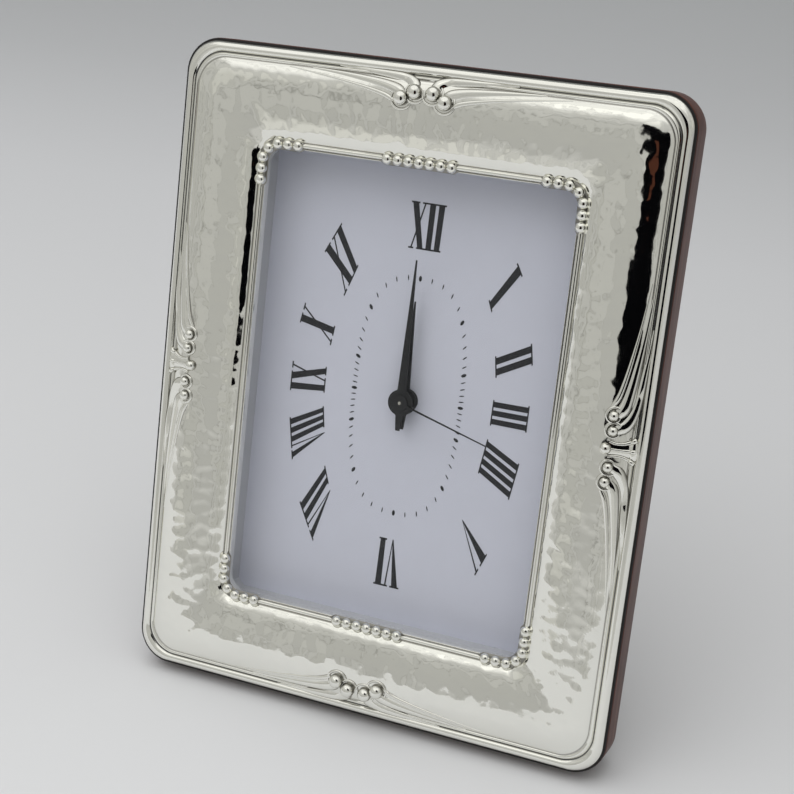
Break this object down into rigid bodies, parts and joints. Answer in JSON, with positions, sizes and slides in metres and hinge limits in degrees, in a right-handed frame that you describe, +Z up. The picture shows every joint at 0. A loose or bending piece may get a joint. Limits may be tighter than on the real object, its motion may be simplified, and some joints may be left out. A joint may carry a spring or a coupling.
{
  "type": "photo frame clock",
  "caption": "Leaning table clock in an embossed silver photo frame with bead and scroll trim, wood surround, glass, printed dial, quartz movement, hands and a folding easel leg.",
  "frame": {"origin": "middle of the clock's overall box in X and Y, on the table plane", "axes": "+X to the right as seen from the front, +Y away from the viewer towards the easel leg, +Z up; the clock leans back 16.4 degrees as it stands"},
  "size_m": [0.1484, 0.0922, 0.1834],
  "materials": {
    "silver": "polished, hand-hammered look",
    "core": "moulded filler",
    "dark_wood": "dark mahogany stain, satin lacquer",
    "clear_glass": "clear, polished",
    "spacer": "grey",
    "dial": "printed matt white card",
    "panel": "dark board",
    "button_metal": "stamped, satin",
    "screw_steel": "plated",
    "hinge_metal": "stamped, satin",
    "pin_steel": "drawn wire",
    "leg_wood": "dark stain, satin",
    "case_black": "fine texture",
    "battery": "plain sleeve",
    "contact_steel": "nickel plated",
    "bridge_plastic": "moulded",
    "gear_brass": "turned",
    "gear_plastic": "moulded",
    "rotor_plastic": "moulded magnet",
    "motor_steel": "stamped",
    "coil_copper": "enamelled wire",
    "board_green": "solder mask",
    "can_metal": "drawn can",
    "knob_black": "satin",
    "hand_black": "semi-gloss black"
  },
  "bodies": {
    "frame": {"back_panel": "panel", "button_screws": "screw_steel", "circuit_board": "board_green", "coil_core": "motor_steel", "coil_winding": "coil_copper", "contact_negative": "contact_steel", "contact_positive": "contact_steel", "dial_card": "dial", "gear_bridge": "bridge_plastic", "glass_pane": "clear_glass", "hinge_leaf_fixed": "hinge_metal", "hinge_panel_screws": "screw_steel", "hinge_pin": "pin_steel", "moulded_core": "core", "movement_base": "case_black", "movement_cover": "case_black", "movement_screws": "screw_steel", "quartz_can": "can_metal", "silver_front": "silver", "spacer_frame": "spacer", "stator_plate": "motor_steel", "wood_frame": "dark_wood"},
    "leg": {"easel_leg": "leg_wood", "hinge_leaf_moving": "hinge_metal", "hinge_leg_screws": "screw_steel"},
    "button_top_left": {"turn_button_top_left": "button_metal"},
    "button_top_right": {"turn_button_top_right": "button_metal"},
    "button_bottom_left": {"turn_button_bottom_left": "button_metal"},
    "button_bottom_right": {"turn_button_bottom_right": "button_metal"},
    "battery": {"battery_cell": "battery"},
    "minute": {"minute_hand": "hand_black", "cannon_pinion": "gear_brass"},
    "hour": {"hour_hand": "hand_black", "hour_wheel": "gear_plastic"},
    "minute_wheel": {"minute_wheel": "gear_plastic"},
    "setting": {"setting_pinion": "gear_brass", "setting_knob": "knob_black"},
    "second": {"second_hand": "hand_black", "second_wheel": "gear_plastic"},
    "third": {"third_wheel": "gear_plastic"},
    "clutch": {"clutch_wheel": "gear_plastic"},
    "fifth": {"fifth_wheel": "gear_plastic"},
    "rotor": {"rotor": "rotor_plastic"}
  },
  "joints": [
    {"name": "leg_hinge", "type": "hinge", "parent": "frame", "child": "leg", "pos_m": [-0.0395, 0.00788, 0.12049], "axis": [-1, 0, 0], "range_deg": [0, 31]},
    {"name": "button_top_left_turn", "type": "hinge", "parent": "frame", "child": "button_top_left", "pos_m": [-0.02196, 0.01812, 0.16062], "axis": [0, -0.9593, 0.2823], "range_deg": [0, 90]},
    {"name": "button_top_right_turn", "type": "hinge", "parent": "frame", "child": "button_top_right", "pos_m": [0.02196, 0.01812, 0.16062], "axis": [0, 0.9593, -0.2823], "range_deg": [0, 90]},
    {"name": "button_bottom_left_turn", "type": "hinge", "parent": "frame", "child": "button_bottom_left", "pos_m": [-0.02196, -0.02389, 0.01788], "axis": [0, 0.9593, -0.2823], "range_deg": [0, 90]},
    {"name": "button_bottom_right_turn", "type": "hinge", "parent": "frame", "child": "button_bottom_right", "pos_m": [0.02196, -0.02389, 0.01788], "axis": [0, -0.9593, 0.2823], "range_deg": [0, 90]},
    {"name": "battery_slide", "type": "slide", "parent": "frame", "child": "battery", "axis": [0, 0.9593, -0.2823], "range_m": [0, 0.018]},
    {"name": "minute_turn", "type": "hinge", "parent": "frame", "child": "minute", "pos_m": [0, -0.00326, 0.08832], "axis": [0, 0.9593, -0.2823], "continuous": true},
    {"name": "hour_turn", "type": "hinge", "parent": "frame", "child": "hour", "pos_m": [0, -0.00326, 0.08832], "axis": [0, 0.9593, -0.2823], "continuous": true},
    {"name": "minute_wheel_turn", "type": "hinge", "parent": "frame", "child": "minute_wheel", "pos_m": [0, 0.00174, 0.09467], "axis": [0, 0.9593, -0.2823], "continuous": true},
    {"name": "setting_turn", "type": "hinge", "parent": "frame", "child": "setting", "pos_m": [0, 0.00385, 0.10186], "axis": [0, 0.9593, -0.2823], "continuous": true},
    {"name": "second_turn", "type": "hinge", "parent": "frame", "child": "second", "pos_m": [0, 0.0025, 0.08663], "axis": [0, 0.9593, -0.2823], "continuous": true},
    {"name": "third_turn", "type": "hinge", "parent": "frame", "child": "third", "pos_m": [-0.0072, 0.0025, 0.08663], "axis": [0, 0.9593, -0.2823], "continuous": true},
    {"name": "clutch_turn", "type": "hinge", "parent": "frame", "child": "clutch", "pos_m": [0, 0.0025, 0.08663], "axis": [0, 0.9593, -0.2823], "continuous": true},
    {"name": "fifth_turn", "type": "hinge", "parent": "frame", "child": "fifth", "pos_m": [0.0071, 0.0025, 0.08663], "axis": [0, 0.9593, -0.2823], "continuous": true},
    {"name": "rotor_turn", "type": "hinge", "parent": "frame", "child": "rotor", "pos_m": [0.0127, 0.0025, 0.08663], "axis": [0, 0.9593, -0.2823], "continuous": true}
  ],
  "couplings": [
    {"joint": "hour_turn", "follows": "minute_turn", "ratio": 0.083333},
    {"joint": "minute_wheel_turn", "follows": "minute_turn", "ratio": -0.33333},
    {"joint": "setting_turn", "follows": "minute_turn", "ratio": 1},
    {"joint": "fifth_turn", "follows": "rotor_turn", "ratio": -0.16667},
    {"joint": "second_turn", "follows": "rotor_turn", "ratio": 0.033333},
    {"joint": "third_turn", "follows": "rotor_turn", "ratio": -0.0041667},
    {"joint": "clutch_turn", "follows": "rotor_turn", "ratio": 0.00055556}
  ]
}
